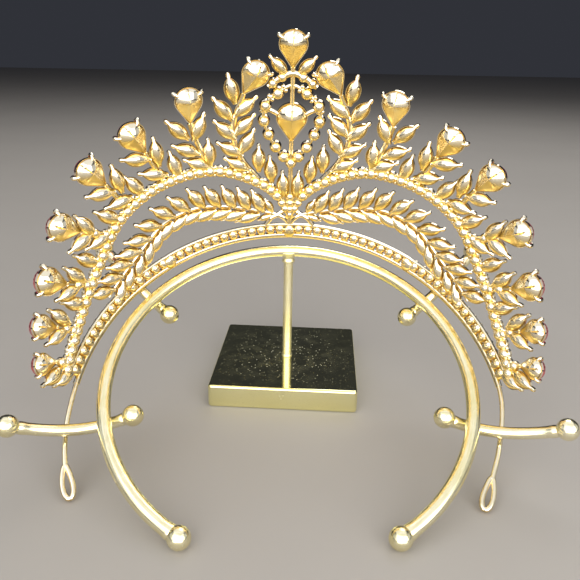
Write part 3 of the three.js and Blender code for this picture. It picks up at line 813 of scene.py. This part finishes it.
# Centrepiece: a cast stem from the band up to the top drop, with an oval ring of cups round a pendant drop,
# two small leaves and a garland of cups that links it to the drops beside it. It is soldered where the two
# arches meet, and holds the same clear and red stones.
ring_half = [(3.9, 53.8), (7.3, 49.7), (7.9, 44.4), (6.7, 39.4), (4.7, 34.6), (2.3, 30.8)]
ring_foot, ring_head = (0, 28.4), (0, 56.4)
ring_stem, oval_cup_size, link_cup_size, ring_knob_apart, ring_knob_radius = 0.62, 1.42, 1.1, 0.8, 0.8
ring_cups = np.array([(-s, t) for s, t in ring_half] + [ring_foot] + ring_half[::-1])
ring_knots = np.vstack([ring_cups[-1:], ring_cups, [ring_head], ring_cups[:2]])
ring_line = through(ring_knots, 8)[8:-8]
# stems: radius and knots of s and t
stem_rows = [
    (0.85, [(0, 3.2), (0, 16), (0, 28.7)]),
    (0.8, [(0, 28.7), (0, 33), (0, 37.0)]),
    (0.8, [(0, 50.0), (0, 56), (0, 62.4)]),
    (1.0, [(-6.4, 56.2), (-3.2, 58.9), (0, 60.4), (3.2, 58.9), (6.4, 56.2)]),
    (0.75, [(-7.0, 48.6), (-5.4, 47.7), (-4.0, 46.6)]),
    (0.75, [(7.0, 48.6), (5.4, 47.7), (4.0, 46.6)]),
]
web_up = np.array([0, 0, 1.8, 3.6, 5.2, 6.8, 8.4, 10, 10])[:, None]
web_half = np.array([0, 0.9, 1.3, 1.8, 2.5, 3.3, 4.0, 4.2, 0])[:, None]
web_turn = round_turn(12)
web_out = 0.9 * np.sin(web_turn) * (web_half > 0) + 0.2
web = put(places(0, 4.4), web_up, web_half * np.cos(web_turn), web_out)
knob_count = 14
knobs_at = along_line(ring_line, (np.arange(knob_count) + 0.5) / knob_count * line_length(ring_line)[-1])
ring_knobs = knob_pairs(places(*knobs_at), ring_knob_apart, ring_knob_radius)
link_cups = places([-5.2, -2.7, 2.7, 5.2], [57.2, 59.2, 59.2, 57.2], 0, 1, link_cup_size)
oval_cups = places(*ring_cups.T, 0, 1, oval_cup_size)
knot_cups = places(0, [14.6, 12.0, 9.4, 6.9], 0, 1, [1.15, 1.15, 1.05, 0.95])
small_leaves = places([1.5, 1.5], [60.2, 60.2], 43, [-1, 1], 0.8)
pendant, top_drop = places(0, 36.6, 0, 1, 1.14), places(0, 62.2, 0, 1, 1.0)
shells = [wall_bar(through(knots, 6), radius, 1) for radius, knots in stem_rows]
shells += [wall_bar(ring_line, ring_stem, 1), with_tone(web, 0.5), ring_knobs]
shells += [round_cups(cups) for cups in (link_cups, oval_cups, knot_cups)]
shells += [leaf_boats(small_leaves, 0.0), pear_cups(np.concatenate([pendant, top_drop]))]
shells += pear_claws(top_drop)
clear_stones = [round_stones(cups) for cups in (link_cups, oval_cups, knot_cups)]
make_piece("centre", shells, tiara_gold, ["tiara_centre"])
make_piece("centre_clear_stones", clear_stones, crystal, ["tiara_centre"], facets=True)
small_marquises = leaf_stones(small_leaves, 0.0)
make_piece("centre_leaf_stones", [small_marquises], ruby, ["tiara_centre"], facets=True)
make_piece("pendant_stone", [pear_stones(pendant)], ruby, ["stone_pendant"], facets=True)
make_piece("top_stone", [pear_stones(top_drop)], ruby, ["stone_top"], facets=True)

# Floor and light: a plain pale floor with a faint grain, under soft studio boxes. Four of them stand
# behind the tiara, on the camera's side, one hangs over it, one lights its front and one stands at each
# end.
floor_half, aim = 3, np.array([0, -0.03, 0.06])
floor_mesh = bpy.data.meshes.new("floor")
floor_corners = [(-floor_half, -floor_half, 0), (floor_half, -floor_half, 0),
                 (floor_half, floor_half, 0), (-floor_half, floor_half, 0)]
floor_mesh.from_pydata(floor_corners, [], [(0, 1, 2, 3)])
floor = new_object("floor", floor_mesh)
floor_paint, shader, tap = new_finish("pale_floor", {"Roughness": 0.6, "Specular IOR Level": 0.28})
grain = tap.place().noise(9.0, 4.0)
grain.blend((0.315, 0.292, 0.265, 1), (0.35, 0.325, 0.296, 1)).feed(shader, "Base Color")
floor_mesh.materials.append(floor_paint)
world = bpy.data.worlds.new("studio")
world.use_nodes = True
world.node_tree.nodes["Background"].inputs["Color"].default_value = (0.030, 0.032, 0.040, 1)
world.node_tree.nodes["Background"].inputs["Strength"].default_value = 1.0
bpy.context.scene.world = world
bpy.context.scene.view_settings.view_transform = "Standard"
# place, width, height, watts
boxes = {
    "key": ((-0.45, -0.75, 0.62), 1.15, 1.0, 4.4),
    "fill": ((0.55, -0.65, 0.42), 0.60, 0.60, 2.7),
    "back": ((0.0, -1.0, 0.48), 1.7, 0.70, 4.8),
    "low": ((0.0, -1.5, 0.32), 2.6, 0.60, 18.0),
    "over": ((0.0, -0.20, 0.90), 1.9, 1.8, 10.4),
    "front": ((0.30, 0.70, 0.95), 0.6, 0.6, 4.0),
    "left": ((-0.95, -0.25, 0.42), 0.9, 0.6, 1.0),
    "right": ((0.95, -0.25, 0.42), 0.9, 0.6, 1.0),
}
for name, (spot, wide, tall, watts) in boxes.items():
    light = bpy.data.lights.new(name, "AREA")
    light.shape = "RECTANGLE"
    light.size = wide
    light.size_y = tall
    light.energy = watts
    away = np.array(spot) - aim
    away /= np.linalg.norm(away)
    across = np.cross([0, 0, 1.0], away)
    across /= np.linalg.norm(across)
    lamp = new_object(name, light)
    lamp.matrix_world = stood_at(across, np.cross(away, across), away, spot)
    lamp.visible_camera = False
